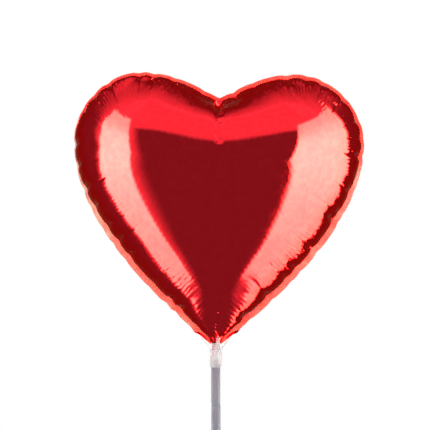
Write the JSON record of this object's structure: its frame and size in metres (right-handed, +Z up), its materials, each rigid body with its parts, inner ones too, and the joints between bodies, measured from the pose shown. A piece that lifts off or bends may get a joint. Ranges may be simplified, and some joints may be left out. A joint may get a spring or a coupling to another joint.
{
  "type": "heart-shaped foil balloon on a stick",
  "caption": "Puffed heart of metallic red film, sealed round its edge, held by a clear cup on a hollow plastic stick.",
  "frame": {"origin": "middle of the stick's lower end", "axes": "+Z up the stick, -Y towards the heart's front, +X to the right as seen from the front"},
  "size_m": [0.185, 0.092, 0.4818],
  "materials": {
    "red_foil": "metallised film, mirror bright",
    "sealed_foil": "metallised film, crimped by the seal",
    "valve_film": "clear thin film",
    "clear_plastic": "clear moulded plastic",
    "stick_plastic": "translucent extruded tube"
  },
  "bodies": {
    "stick": {"stick": "stick_plastic"},
    "cup": {"balloon_cup": "clear_plastic"},
    "valve": {"valve_front_film": "valve_film", "valve_back_film": "valve_film"},
    "balloon": {"sealed_margin": "sealed_foil", "front_foil": "red_foil", "back_foil": "red_foil"}
  },
  "joints": [
    {"name": "cup_pull", "type": "slide", "parent": "stick", "child": "cup", "axis": [0, 0, 1], "range_m": [0, 0.02]},
    {"name": "valve_pull", "type": "slide", "parent": "cup", "child": "valve", "axis": [0, 0, 1], "range_m": [0, 0.03]},
    {"name": "balloon_nod", "type": "hinge", "parent": "valve", "child": "balloon", "pos_m": [0, 0, 0.3084], "axis": [1, 0, 0], "range_deg": [-10, 10], "stiffness_Nm_per_rad": 0.05, "deforming": ["valve_front_film", "valve_back_film"]}
  ]
}
